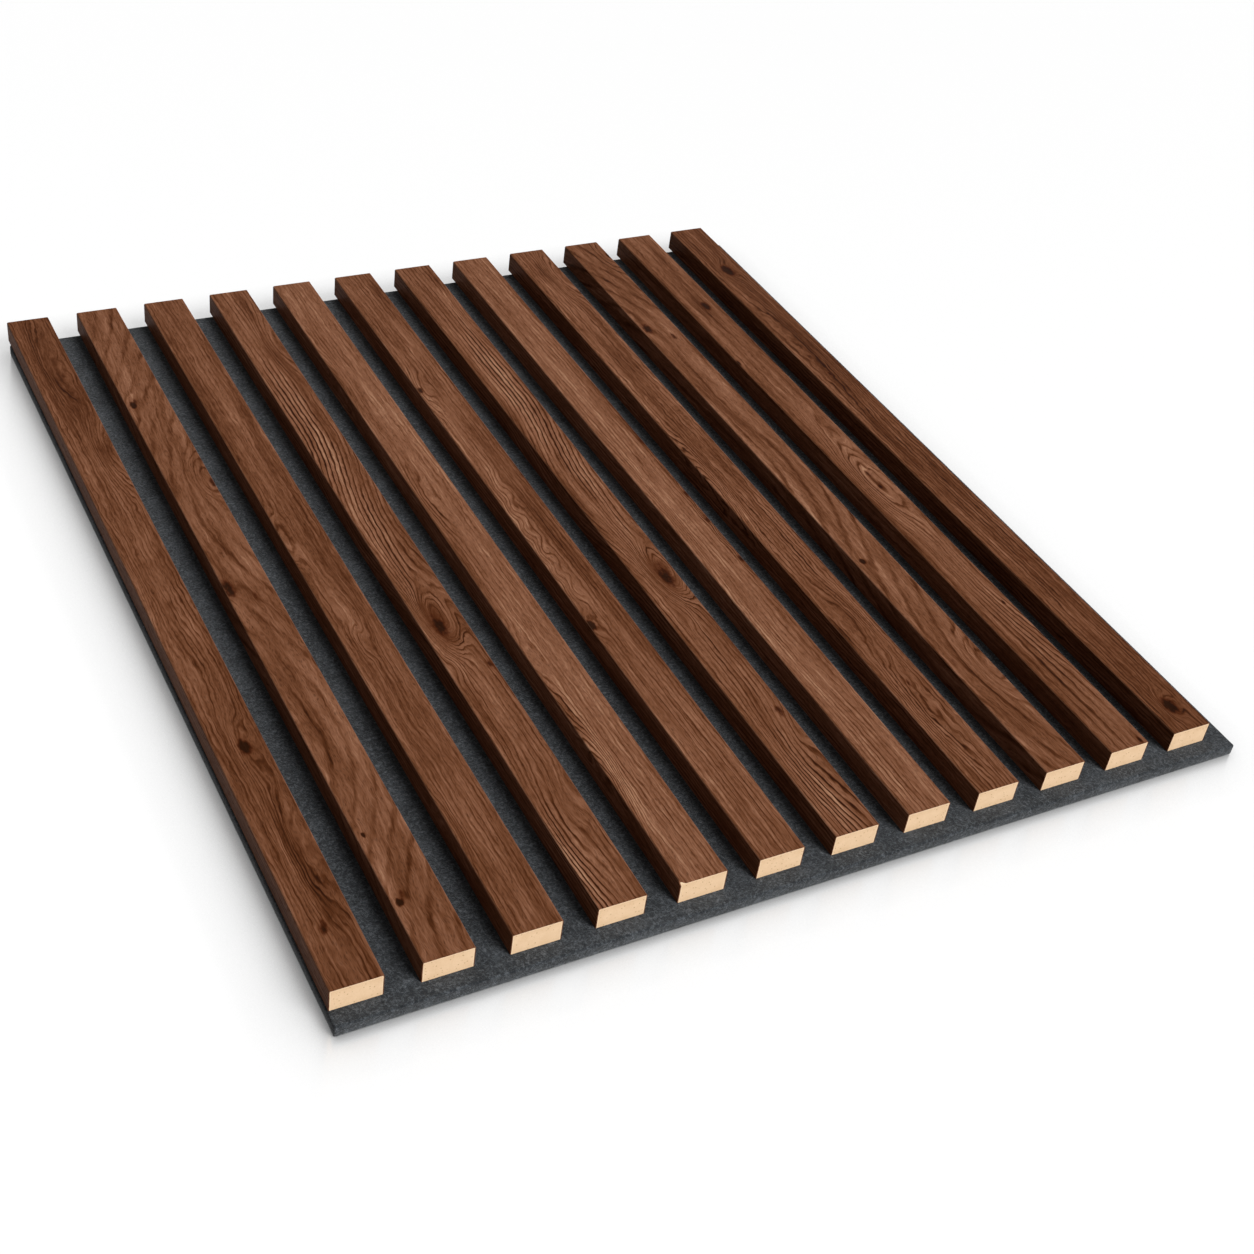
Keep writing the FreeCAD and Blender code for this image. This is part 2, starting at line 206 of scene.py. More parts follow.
SHEETS: tuple[WalnutSheet, ...] = (
    WalnutSheet(
        Figure.QUARTERED, -0.08, 2.6, 0.18,
        swirls=(Patch(17.5, 180, 9, 40, 2.8), Patch(19, 95, 13, 80, 4.0), Patch(26, 480, 18, 66, 5.0),
                Patch(14, 590, 12, 85, 3.2), Patch(-2, 345, 12, 80, -3.5), Patch(20, 250, 20, 60, -1.5)),
        knots=(Patch(17.3, 180, 5.2, 10, 0.85), Patch(17.5, 181, 9, 20, 0.40), Patch(12, 40, 4.4, 9, 0.70)),
        stains=(Patch(17.5, 95, 9, 80, 0.14), Patch(22, 483, 9, 28, 0.20), Patch(14, 570, 12, 100, 0.15),
                Patch(16, 314, 5, 8, 0.16), Patch(8, 250, 12, 80, -0.10), Patch(8, 420, 10, 70, -0.08),
                Patch(0, 330, 9, 420, -0.10), Patch(16, 345, 20, 130, -0.06), Patch(15, 645, 24, 60, 0.09)),
        stripes=(Patch(18, 95, 12, 80, 0.14), Patch(20, 300, 14, 70, 0.20), Patch(22, 440, 14, 70, 0.18)),
    ),
    WalnutSheet(
        Figure.FLAT_SAWN, 0.02, 3.2, 0.20,
        swirls=(Patch(15, -10, 400, 190, 5.4), Patch(15, 385, 400, 195, 3.6), Patch(15, 690, 400, 200, -4.6),
                Patch(26, 435, 14, 44, 2.8), Patch(5.5, 43, 6, 18, 0.5), Patch(5.5, 532, 6, 18, 0.5),
                Patch(4, 322, 9, 26, 0.7)),
        knots=(Patch(4.6, 42, 3.5, 5.0, 1.4), Patch(4.5, 94, 1.7, 3.5, 1.2), Patch(5.0, 531, 3.8, 6.0, 1.4),
               Patch(7.5, 47, 3.0, 6.0, 0.6), Patch(7.6, 536, 3.0, 6.0, 0.6),
               Patch(3.0, 318, 7.0, 16, 0.9), Patch(16.5, 306, 3.2, 9, 0.45), Patch(28.5, 428, 3.6, 9, 0.7)),
        stains=(Patch(20, 326, 9, 34, -0.16), Patch(5, 430, 7, 30, 0.16), Patch(10, 200, 6, 100, 0.06),
                Patch(15, 300, 24, 90, 0.04), Patch(15, 650, 24, 50, 0.05)),
        stripes=(Patch(12, 235, 13, 60, -0.16),),
    ),
    WalnutSheet(
        Figure.QUARTERED, -0.005, 2.2, 0.14,
        swirls=(Patch(-1, 85, 10, 46, -3.0), Patch(0, 355, 9, 50, 3.4), Patch(18, 275, 14, 46, -1.6),
                Patch(12, 245, 8, 22, 1.6), Patch(10, 170, 10, 40, 1.2)),
        stains=(Patch(21, 340, 10, 120, 0.16), Patch(4, 470, 7, 110, 0.20), Patch(12, 268, 9, 46, -0.08),
                Patch(12, 150, 11, 70, 0.06), Patch(25, 180, 6, 40, 0.12), Patch(15, 85, 22, 60, -0.08),
                Patch(0, 250, 6, 250, -0.05)),
        stripes=(Patch(19, 85, 12, 90, 0.14), Patch(5, 90, 8, 60, 0.12), Patch(12, 255, 11, 50, 0.20),
                 Patch(5, 355, 8, 50, 0.22)),
    ),
    WalnutSheet(
        Figure.FINE_STRIPED, 0.005, 1.5, 0.26,
        swirls=(Patch(12.5, 246, 15, 42, 6.2), Patch(13, 268, 18, 88, 3.4), Patch(8, 62, 16, 80, 2.5),
                Patch(21, 82, 10, 34, 1.6, 8), Patch(10, 345, 400, 125, 5.6), Patch(6, 204, 7, 18, -1.2),
                Patch(24, 580, 12, 60, 2.5)),
        knots=(Patch(12, 244, 13, 36, 0.46), Patch(12, 242, 5.4, 12, 0.50), Patch(27, 200, 4.5, 9, 0.6)),
        stains=(Patch(12.5, 250, 12, 34, 0.14), Patch(22, 90, 7, 36, 0.05), Patch(22, 470, 9, 120, 0.06),
                Patch(14, 570, 7, 46, 0.12), Patch(12, 330, 10, 120, 0.05), Patch(0, 330, 5, 420, -0.08),
                Patch(15, 256, 24, 44, 0.05)),
        stripes=(Patch(10, 455, 14, 150, 0.90), Patch(14, 345, 16, 70, 0.40), Patch(4, 30, 13, 75, 0.85),
                 Patch(14, 262, 17, 80, 0.50), Patch(12, 246, 13, 34, -1.0), Patch(16, 284, 8, 20, -0.9)),
    ),
    WalnutSheet(
        Figure.QUARTERED, 0.12, 2.2, 0.16,
        swirls=(Patch(0, 85, 11, 70, -4.0, 5), Patch(0, 195, 11, 50, 2.4), Patch(6, 365, 9, 60, 2.0),
                Patch(-2, 510, 10, 60, -4.0, 5)),
        stains=(Patch(2, 508, 5, 50, 0.24), Patch(6, 360, 7, 50, 0.08), Patch(3, 140, 6, 36, 0.16),
                Patch(18, 560, 13, 110, -0.04), Patch(3, 330, 9, 420, 0.06), Patch(15, 310, 9, 380, -0.05),
                Patch(15, 450, 22, 60, 0.05)),
        stripes=(Patch(6, 365, 8, 60, 0.36), Patch(5, 115, 11, 115, 0.50), Patch(16, 60, 12, 90, 0.16)),
    ),
    WalnutSheet(
        Figure.QUARTERED, 0.035, 1.8, 0.20,
        swirls=(Patch(1, 214, 9, 28, 2.8), Patch(6, 246, 9, 20, 1.7, 16), Patch(5, 268, 9, 17, 1.5, 16),
                Patch(6, 291, 9, 19, 1.8, 16), Patch(4, 314, 9, 17, 1.5, 16), Patch(6, 340, 9, 21, 1.7, 16),
                Patch(8, 368, 9, 22, 1.4, 16), Patch(4, 490, 9, 40, 2.2, 5)),
        knots=(Patch(1.6, 213, 4.6, 9, 1.4), Patch(2, 492, 3.4, 7, 0.9)),
        stains=(Patch(21, 290, 9, 170, 0.18), Patch(24, 620, 10, 70, 0.18), Patch(20, 60, 9, 70, 0.04),
                Patch(4, 330, 11, 420, -0.09), Patch(29, 330, 9, 420, 0.06), Patch(15, 440, 20, 60, 0.05)),
        stripes=(Patch(6, 305, 10, 115, 0.26), Patch(16, 90, 13, 110, 0.18), Patch(5, 480, 9, 60, 0.24)),
    ),
    WalnutSheet(
        Figure.FINE_STRIPED, 0.0, 1.5, 0.26,
        swirls=(Patch(20.8, 246, 15, 42, 6.2), Patch(21, 268, 18, 88, 3.4), Patch(16, 62, 18, 80, 2.5),
                Patch(28, 88, 10, 34, 1.6, 8), Patch(18, 345, 400, 125, 5.2), Patch(14, 202, 7, 18, -1.2),
                Patch(30, 580, 12, 60, 2.5)),
        knots=(Patch(20.5, 244, 13, 36, 0.46), Patch(20.3, 242, 5.4, 12, 0.55), Patch(24, 103, 3.6, 9, 0.7)),
        stains=(Patch(20.5, 250, 12, 34, 0.14), Patch(1, 330, 5, 330, 0.14), Patch(24, 640, 6, 30, 0.22),
                Patch(7, 330, 5, 420, -0.07), Patch(18, 440, 10, 160, 0.04)),
        stripes=(Patch(17, 470, 15, 150, 1.00), Patch(20, 345, 16, 70, 0.46), Patch(13, 28, 17, 72, 0.9),
                 Patch(21, 262, 17, 80, 0.50), Patch(20.5, 246, 13, 34, -1.0), Patch(16, 140, 14, 60, 0.22),
                 Patch(24, 284, 8, 20, -0.9)),
    ),
    WalnutSheet(
        Figure.QUARTERED, 0.14, 1.8, 0.20,
        swirls=(Patch(30, 240, 6, 18, 2.4), Patch(30, 268, 6, 18, 2.4), Patch(30, 296, 6, 18, 2.4),
                Patch(30, 322, 6, 18, 2.0), Patch(2, 300, 9, 140, -2.0), Patch(14, 150, 14, 90, 1.5)),
        knots=(Patch(28, 243, 3.4, 7, 0.9), Patch(27.8, 290, 3.2, 8, 0.8), Patch(28, 318, 3.0, 7, 0.8),
               Patch(28, 386, 3.0, 10, 0.6)),
        stains=(Patch(29.5, 400, 4.5, 80, 0.22), Patch(29, 330, 7, 420, 0.24), Patch(29, 590, 4, 70, 0.14),
                Patch(18, 600, 20, 110, 0.04), Patch(15, 20, 24, 50, 0.05)),
        stripes=(Patch(27, 280, 6, 55, 0.50), Patch(10, 70, 14, 110, 0.16)),
    ),
    WalnutSheet(
        Figure.QUARTERED, 0.0, 3.0, 0.26,
        swirls=(Patch(12, 72, 13, 70, 2.6), Patch(2, 320, 11, 90, -4.0, 4), Patch(24, 615, 13, 60, 3.0),
                Patch(16, 165, 13, 60, -3.0)),
        knots=(Patch(15.5, 97, 2.4, 8, 0.6),),
        stains=(Patch(15, 385, 10, 95, 0.17), Patch(17, 180, 9, 40, 0.12), Patch(1, 150, 5, 24, 0.34),
                Patch(14, 490, 11, 44, 0.08), Patch(12, 625, 9, 36, 0.16), Patch(15, 180, 22, 80, 0.05)),
        stripes=(Patch(4, 310, 9, 130, 0.30), Patch(8, 60, 14, 90, 0.34), Patch(19, 240, 14, 110, 0.34)),
    ),
    WalnutSheet(
        Figure.FLAT_SAWN, 0.02, 3.0, 0.25,
        swirls=(Patch(15, 90, 400, 260, 5.2), Patch(25, 95, 15, 46, 2.4), Patch(6.4, 213, 6, 18, 0.5),
                Patch(13, 430, 12, 140, 0.5), Patch(15, 690, 400, 190, 4.2), Patch(28, 637, 12, 38, 2.0),
                Patch(5, 524, 8, 24, 0.6)),
        knots=(Patch(6.2, 213, 3.5, 5.2, 1.4), Patch(5.5, 524, 6.0, 13, 1.0), Patch(20, 508, 4.0, 9, 0.55),
               Patch(28.5, 637, 3.8, 9, 0.9), Patch(5, 104, 7, 18, 0.35)),
        stains=(Patch(11, 370, 5, 90, 0.08), Patch(22, 520, 9, 36, -0.08), Patch(15, 50, 26, 90, 0.10),
                Patch(15, 620, 26, 130, 0.12), Patch(7, 330, 5, 420, 0.05), Patch(0, 330, 5, 420, -0.10)),
    ),
    WalnutSheet(
        Figure.CATHEDRAL, 0.02, 2.4, 0.14,
        swirls=(Patch(15, 290, 17, 84, 5.6), Patch(34, 185, 29, 150, 5.0), Patch(16, 365, 10, 40, 1.2)),
        knots=(Patch(17.3, 284, 3.2, 6.5, 0.9), Patch(17.0, 300, 3.0, 6.5, 0.8), Patch(18.2, 542, 5.6, 11, 1.15),
               Patch(1, 459, 2.4, 7, 1.1), Patch(25, 3, 2.4, 6, 1.0), Patch(24, 144, 1.8, 4, 1.0)),
        stains=(Patch(1, 330, 5, 420, 0.20), Patch(16, 540, 8, 30, 0.14), Patch(17, 400, 12, 90, -0.08),
                Patch(15, 90, 26, 120, 0.08), Patch(15, 570, 26, 110, 0.09)),
        stripes=(Patch(20, 110, 20, 115, 0.50), Patch(15, 285, 18, 110, 0.46), Patch(8, 20, 12, 60, 0.14)),
    ),
    WalnutSheet(
        Figure.QUARTERED, -0.105, 2.4, 0.24,
        swirls=(Patch(15, 22, 9, 22, 3.4), Patch(15.6, 588, 9, 26, 3.4), Patch(16, 470, 14, 150, -3.4)),
        knots=(Patch(15, 22, 6.0, 11, 1.00), Patch(15, 23, 10, 20, 0.35), Patch(14.8, 588, 6.4, 13, 1.00),
               Patch(14.8, 588, 10, 22, 0.35), Patch(18, 180, 2.6, 10, 0.5), Patch(13, 425, 2.6, 6, 0.7)),
        stains=(Patch(15, 440, 10, 110, 0.18), Patch(16, 540, 10, 100, 0.12), Patch(18, 240, 10, 100, 0.06),
                Patch(15, 22, 9, 20, 0.10), Patch(0, 330, 6, 420, -0.08), Patch(29, 330, 7, 420, 0.08),
                Patch(15, 40, 26, 90, 0.05)),
        stripes=(Patch(18, 240, 13, 100, 0.26), Patch(16, 385, 13, 60, 0.16)),
    ),
)


@dataclass(frozen=True)
class WalnutVeneer:
    """American walnut veneer, sliced 0.5 mm thick, folded over the slat and finished with a matt lacquer.

    To the eye it is a mid brown with darker growth lines, short open pores along the grain and a low, broad sheen.
    Sizes are in mm. Pores are about 0.15 mm wide on the real wood and are drawn near 0.4 mm, so that they show.
    """

    ground: tuple[tuple[float, str], ...] = (
        (0.0, "#281106"), (0.25, "#4E2A15"), (0.5, "#6D442D"), (0.75, "#8A5E46"), (1.0, "#AC8265"),
    )
    pore_colour: str = "#2B160B"
    knot: tuple[tuple[float, str], ...] = ((0.15, "#5E3219"), (0.45, "#421C09"), (0.85, "#1E0A01"))
    # Paler line over the two folds: partly worn lacquer, partly a painted highlight.
    fold_wear_and_highlight_colour: str = "#8E6650"
    pore_gap: float = 0.9
    pore_length: float = 5.5
    streak_gap: float = 2.0
    streak_length: float = 44.0
    thread_width: float = 0.06
    half_width: float = 14.75

    def noise_of(
        self, tree: bpy.types.NodeTree, point: Feed, across: float, along: float, seed: float, detail: float,
    ) -> bpy.types.Node:
        """Adds a noise pattern that is drawn out along the grain.

        Args:
            tree: Node tree of the material.
            point: Place on the sheet in mm.
            across: Size of the pattern across the grain, in mm.
            along: Its size along the grain, in mm.
            seed: A number that sets this pattern apart from the others.
            detail: How many finer layers it has.

        Returns:
            The noise node, from 0 to 1.
        """
        sized = add_node(
            tree, "ShaderNodeMapping",
            {"Vector": point, "Location": (0.0, 0.0, -seed), "Scale": (across, along, 1.0)},
            vector_type="TEXTURE",
        )
        return add_node(
            tree, "ShaderNodeTexNoise",
            {"Vector": sized, "Scale": 1.0, "Detail": detail, "Roughness": 0.55},
        )

    def oval(self, tree: bpy.types.NodeTree, point: Feed, patch: Patch) -> bpy.types.Node:
        """Adds a soft oval that is 1 at a patch's middle and 0 from its rim outwards."""
        placed = add_node(
            tree, "ShaderNodeMapping",
            {
                "Vector": point,
                "Location": (patch.across, patch.along, 0.0),
                "Rotation": (0.0, 0.0, math.radians(-patch.turn)),
                "Scale": (patch.half_width, patch.half_length, 1.0),
            },
            vector_type="TEXTURE",
        )
        round_part = add_node(
            tree, "ShaderNodeTexGradient", {"Vector": placed}, gradient_type="SPHERICAL",
        )
        return add_node(
            tree, "ShaderNodeMapRange", {"Value": round_part.outputs["Fac"]},
            interpolation_type="SMOOTHSTEP",
        )

    def sum_of(
        self, tree: bpy.types.NodeTree, start: Feed, point: Feed, patches: tuple[Patch, ...],
    ) -> Feed:
        """Adds up patches, each times its own amount.

        Args:
            tree: Node tree of the material.
            start: What the sum starts from.
            point: Place on the sheet in mm.
            patches: The ovals to add.

        Returns:
            The sum.
        """
        total = start
        for patch in patches:
            total = add_node(
                tree, "ShaderNodeMath", {0: self.oval(tree, point, patch), 1: patch.amount, 2: total},
                operation="MULTIPLY_ADD",
            )
        return total

    def unfolded(self, tree: bpy.types.NodeTree, corner: Vector) -> tuple[bpy.types.Node, bpy.types.Node]:
        """Works out where a point lies on the sheet as it was before it was folded over the slat.

        Args:
            tree: Node tree of the material.
            corner: The slat's left, near, upper corner in metres.

        Returns:
            The node with mm across and along, and the node with mm across alone.
        """
        place = add_node(tree, "ShaderNodeTexCoord", {})
        local = add_node(
            tree, "ShaderNodeMapping",
            {"Vector": place.outputs["Object"], "Location": tuple(corner), "Scale": (MM, MM, MM)},
            vector_type="TEXTURE",
        )
        parts = add_node(tree, "ShaderNodeSeparateXYZ", {0: local})
        from_middle = add_node(
            tree, "ShaderNodeMath", {0: parts.outputs["X"], 1: self.half_width}, operation="SUBTRACT",
        )
        side = add_node(tree, "ShaderNodeMath", {0: from_middle}, operation="SIGN")
        below = add_node(
            tree, "ShaderNodeMath", {0: parts.outputs["Z"], 1: -1.0}, operation="MULTIPLY",
        )
        across = add_node(
            tree, "ShaderNodeMath", {0: side, 1: below, 2: parts.outputs["X"]}, operation="MULTIPLY_ADD",
        )
        point = add_node(tree, "ShaderNodeCombineXYZ", {"X": across, "Y": parts.outputs["Y"], "Z": 0.0})
        return point, across

    def shaken(self, tree: bpy.types.NodeTree, point: Feed, seed: float) -> bpy.types.Node:
        """Shifts each place by a mm or so, which gives swirls, knots and stains their ragged outlines."""
        shift = self.noise_of(tree, point, 5.0, 16.0, seed + 47.0, 2.0)
        moved = add_node(
            tree, "ShaderNodeVectorMath", {0: shift.outputs["Color"], 1: (1.8, 7.0, 0.0), 2: point},
            operation="MULTIPLY_ADD",
        )
        return add_node(tree, "ShaderNodeVectorMath", {0: moved, 1: (0.9, 3.5, 0.0)}, operation="SUBTRACT")

    def growth(
        self, tree: bpy.types.NodeTree, sheet: WalnutSheet, seed: float, point: Feed, shaken: Feed, across: Feed,
    ) -> tuple[bpy.types.Node, bpy.types.Node, bpy.types.Node]:
        """Counts growth lines across the sheet, bent by the tree's slow wander and by each swirl.

        Args:
            tree: Node tree of the material.
            sheet: The sheet's own figure.
            seed: A number that sets this sheet apart.
            point: Place on the sheet in mm.
            shaken: The same place, shifted a little.
            across: Its mm across alone.

        Returns:
            The count, in which each whole number is a growth line, the mm across that the fine grain follows, and
            the mm across that the pores follow.
        """
        lines, drift, follow, _, _ = sheet.figure.value
        slow = self.noise_of(tree, point, 34.0, 150.0, seed, 1.0)
        quick = self.noise_of(tree, point, 9.0, 42.0, seed + 3.7, 2.0)
        ripple = self.noise_of(tree, point, 4.0, 13.0, seed + 5.1, 1.0)
        bent = add_node(
            tree, "ShaderNodeMath", {0: slow, 1: 2.0 * sheet.wander, 2: across}, operation="MULTIPLY_ADD",
        )
        bent = add_node(
            tree, "ShaderNodeMath", {0: quick, 1: 0.7 * sheet.wander, 2: bent}, operation="MULTIPLY_ADD",
        )
        bent = add_node(
            tree, "ShaderNodeMath", {0: ripple, 1: 1.1 * sheet.wander, 2: bent}, operation="MULTIPLY_ADD",
        )
        parts = add_node(tree, "ShaderNodeSeparateXYZ", {0: point})
        bent = add_node(
            tree, "ShaderNodeMath", {0: parts.outputs["Y"], 1: drift / 100.0, 2: bent},
            operation="MULTIPLY_ADD",
        )
        straight = add_node(tree, "ShaderNodeMath", {0: bent, 1: lines}, operation="MULTIPLY")
        count = self.sum_of(tree, straight, shaken, sheet.swirls)
        part = add_node(tree, "ShaderNodeMath", {0: bent, 1: 1.0 - follow}, operation="MULTIPLY")
        grain = add_node(tree, "ShaderNodeMath", {0: count, 1: follow / lines, 2: part}, operation="MULTIPLY_ADD")
        return count, grain, bent

    def material(self, name: str, sheet: WalnutSheet, seed: float, corner: Vector) -> bpy.types.Material:
        """Builds the veneer of one slat.

        Args:
            name: Name of the material.
            sheet: The sheet's own figure.
            seed: A number that sets this sheet apart.
            corner: The slat's left, near, upper corner in metres.

        Returns:
            The material.
        """
        material, tree = new_material(name)
        point, across = self.unfolded(tree, corner)
        shaken = self.shaken(tree, point, seed)
        count, with_grain, with_pores = self.growth(tree, sheet, seed, point, shaken, across)
        crest, onset = sheet.figure.value[3:]
        along = add_node(tree, "ShaderNodeSeparateXYZ", {0: point}).outputs["Y"]

        # Streaks and pores follow the growth lines, so they turn round a knot as the lines do.
        grain_point = add_node(tree, "ShaderNodeCombineXYZ", {"X": with_grain, "Y": along, "Z": 0.0})
        broad = self.noise_of(tree, grain_point, 8.0, 130.0, seed + 11.0, 2.0)
        streak = self.noise_of(tree, grain_point, self.streak_gap, self.streak_length, seed + 17.0, 3.0)
        fine = self.noise_of(tree, grain_point, 0.9, 10.0, seed + 23.0, 2.0)

        # Thin dark threads run with the grain, where rows of pores lie close together.
        threads = []
        for pattern in (streak, self.noise_of(tree, grain_point, 3.4, 90.0, seed + 53.0, 2.0)):
            middle = add_node(tree, "ShaderNodeMath", {0: pattern, 1: 0.5}, operation="SUBTRACT")
            middle = add_node(tree, "ShaderNodeMath", {0: middle}, operation="ABSOLUTE")
            threads.append(add_node(
                tree, "ShaderNodeMapRange",
                {"Value": middle, "From Min": 0.0, "From Max": self.thread_width, "To Min": 1.0, "To Max": 0.0},
                interpolation_type="SMOOTHSTEP",
            ))
        thread = add_node(tree, "ShaderNodeMath", {0: threads[0], 1: threads[1]}, operation="MAXIMUM")

        # A growth line darkens slowly and ends sharply, as late wood does against the next year's early wood.
        phase = add_node(tree, "ShaderNodeMath", {0: count}, operation="FRACT")
        rise = add_node(
            tree, "ShaderNodeMapRange", {"Value": phase, "From Min": crest - onset, "From Max": crest},
            interpolation_type="SMOOTHSTEP",
        )
        fall = add_node(
            tree, "ShaderNodeMapRange",
            {"Value": phase, "From Min": crest, "From Max": 1.0, "To Min": 1.0, "To Max": 0.0},
            interpolation_type="SMOOTHSTEP",
        )
        line = add_node(tree, "ShaderNodeMath", {0: rise, 1: fall}, operation="MULTIPLY")
        strength = self.sum_of(tree, add_node(
            tree, "ShaderNodeMapRange",
            {
                "Value": self.noise_of(tree, grain_point, 6.0, 60.0, seed + 31.0, 1.0),
                "From Min": 0.3, "From Max": 0.7, "To Min": 0.0, "To Max": 1.8 * sheet.veins,
            },
        ), shaken, sheet.stripes)
        strength = add_node(tree, "ShaderNodeMath", {0: strength, 1: 0.0}, operation="MAXIMUM")
        shade = add_node(tree, "ShaderNodeMath", {0: line, 1: 0.29}, operation="SUBTRACT")
        vein = add_node(tree, "ShaderNodeMath", {0: shade, 1: strength}, operation="MULTIPLY")

        # Tone, from 0 for the darkest wood to 1 for the palest.
        tone = add_node(
            tree, "ShaderNodeMath", {0: broad, 1: 0.70, 2: 0.5 + sheet.lift - 0.35},
            operation="MULTIPLY_ADD",
        )
        tone = add_node(tree, "ShaderNodeMath", {0: streak, 1: 0.50, 2: tone}, operation="MULTIPLY_ADD")
        tone = add_node(tree, "ShaderNodeMath", {0: fine, 1: 0.52, 2: tone}, operation="MULTIPLY_ADD")
        tone = add_node(tree, "ShaderNodeMath", {0: thread, 1: -0.09, 2: tone}, operation="MULTIPLY_ADD")
        tone = add_node(tree, "ShaderNodeMath", {0: tone, 1: 0.46}, operation="SUBTRACT")
        tone = add_node(tree, "ShaderNodeMath", {0: tone, 1: vein}, operation="SUBTRACT")
        ragged = self.noise_of(tree, grain_point, 3.0, 16.0, seed + 41.0, 3.0)
        stain = self.sum_of(tree, 0.0, shaken, sheet.stains)
        if sheet.stains:
            ragged_part = add_node(
                tree, "ShaderNodeMath", {0: ragged, 1: 1.2, 2: 0.4}, operation="MULTIPLY_ADD",
            )
            stain = add_node(tree, "ShaderNodeMath", {0: stain, 1: ragged_part}, operation="MULTIPLY")
            tone = add_node(tree, "ShaderNodeMath", {0: tone, 1: stain}, operation="SUBTRACT")
        wood = add_node(tree, "ShaderNodeValToRGB", {0: tone}, stops=self.ground)

        # Pores: thin dashes, more of them in some streaks than in others.
        pore_point = add_node(tree, "ShaderNodeCombineXYZ", {"X": with_pores, "Y": along, "Z": 0.0})
        dash_place = add_node(
            tree, "ShaderNodeMapping",
            {
                "Vector": pore_point,
                "Location": (0.0, 0.0, -seed),
                "Scale": (self.pore_gap, self.pore_length, 1.0),
            },
            vector_type="TEXTURE",
        )
        dash = add_node(
            tree, "ShaderNodeTexVoronoi", {"Vector": dash_place, "Scale": 1.0, "Randomness": 1.0},
            voronoi_dimensions="2D",
        )
        pore = add_node(
            tree, "ShaderNodeMapRange",
            {"Value": dash.outputs["Distance"], "From Min": 0.12, "From Max": 0.34, "To Min": 1.0, "To Max": 0.0},
            interpolation_type="SMOOTHSTEP",
        )
        crowd = add_node(
            tree, "ShaderNodeMapRange",
            {"Value": streak, "From Min": 0.35, "From Max": 0.65, "To Min": 0.48, "To Max": 0.10},
        )
        pore_share = add_node(tree, "ShaderNodeMath", {0: pore, 1: crowd}, operation="MULTIPLY")
        colour = add_node(
            tree, "ShaderNodeMix", {0: pore_share, 6: wood, 7: linear(self.pore_colour)}, data_type="RGBA",
        ).outputs[2]

        # Knots: warm brown at the rim and near black at the heart, with a ragged outline.
        if sheet.knots:
            knot = self.sum_of(tree, 0.0, shaken, sheet.knots)
            cracked = add_node(
                tree, "ShaderNodeMath",
                {0: self.noise_of(tree, point, 2.4, 4.5, seed + 61.0, 3.0), 1: 1.8, 2: 0.1},
                operation="MULTIPLY_ADD",
            )
            depth = add_node(tree, "ShaderNodeMath", {0: knot, 1: cracked}, operation="MULTIPLY")
            share = add_node(
                tree, "ShaderNodeMapRange",
                {"Value": depth, "From Min": 0.05, "From Max": 0.65, "To Min": 0.0, "To Max": 0.94},
                interpolation_type="SMOOTHSTEP",
            )
            knot_wood = add_node(tree, "ShaderNodeValToRGB", {0: depth}, stops=self.knot)
            colour = add_node(
                tree, "ShaderNodeMix", {0: share, 6: colour, 7: knot_wood}, data_type="RGBA",
            ).outputs[2]

        # The lacquer is thin over the two folds and the edges catch the light: the paler line there is partly worn
        # lacquer and partly a painted highlight.
        from_fold = add_node(
            tree, "ShaderNodeMath", {0: across, 1: self.half_width}, operation="SUBTRACT",
        )
        from_fold = add_node(tree, "ShaderNodeMath", {0: from_fold}, operation="ABSOLUTE")
        fold = add_node(
            tree, "ShaderNodeMath", {0: from_fold, 1: self.half_width, 2: 0.45}, operation="COMPARE",
        )
        fold_wear_and_highlight_share = add_node(
            tree, "ShaderNodeMath",
            {0: fold, 1: add_node(tree, "ShaderNodeMath", {0: streak, 1: 0.6}, operation="MULTIPLY")},
            operation="MULTIPLY",
        )
        colour = add_node(
            tree, "ShaderNodeMix", {0: fold_wear_and_highlight_share, 6: colour, 7: linear(self.fold_wear_and_highlight_colour)}, data_type="RGBA",
        ).outputs[2]

        # Relief: open pores are sunk, and the growth lines stand a little proud.
        relief = add_node(tree, "ShaderNodeMath", {0: fine, 1: 0.5, 2: line}, operation="MULTIPLY_ADD")
        relief = add_node(tree, "ShaderNodeMath", {0: relief, 1: pore}, operation="SUBTRACT")
        bump = add_node(
            tree, "ShaderNodeBump", {"Height": relief, "Strength": 0.35, "Distance": 0.08 * MM},
        )
        rough = add_node(
            tree, "ShaderNodeMapRange",
            {"Value": pore_share, "From Min": 0.0, "From Max": 0.5, "To Min": 0.50, "To Max": 0.72},
        )
        shader = add_node(
            tree, "ShaderNodeBsdfPrincipled",
            {
                "Base Color": colour, "Roughness": rough, "IOR": 1.5, "Specular IOR Level": 0.02,
                "Normal": bump,
            },
        )
        add_node(tree, "ShaderNodeOutputMaterial", {"Surface": shader})
        return material


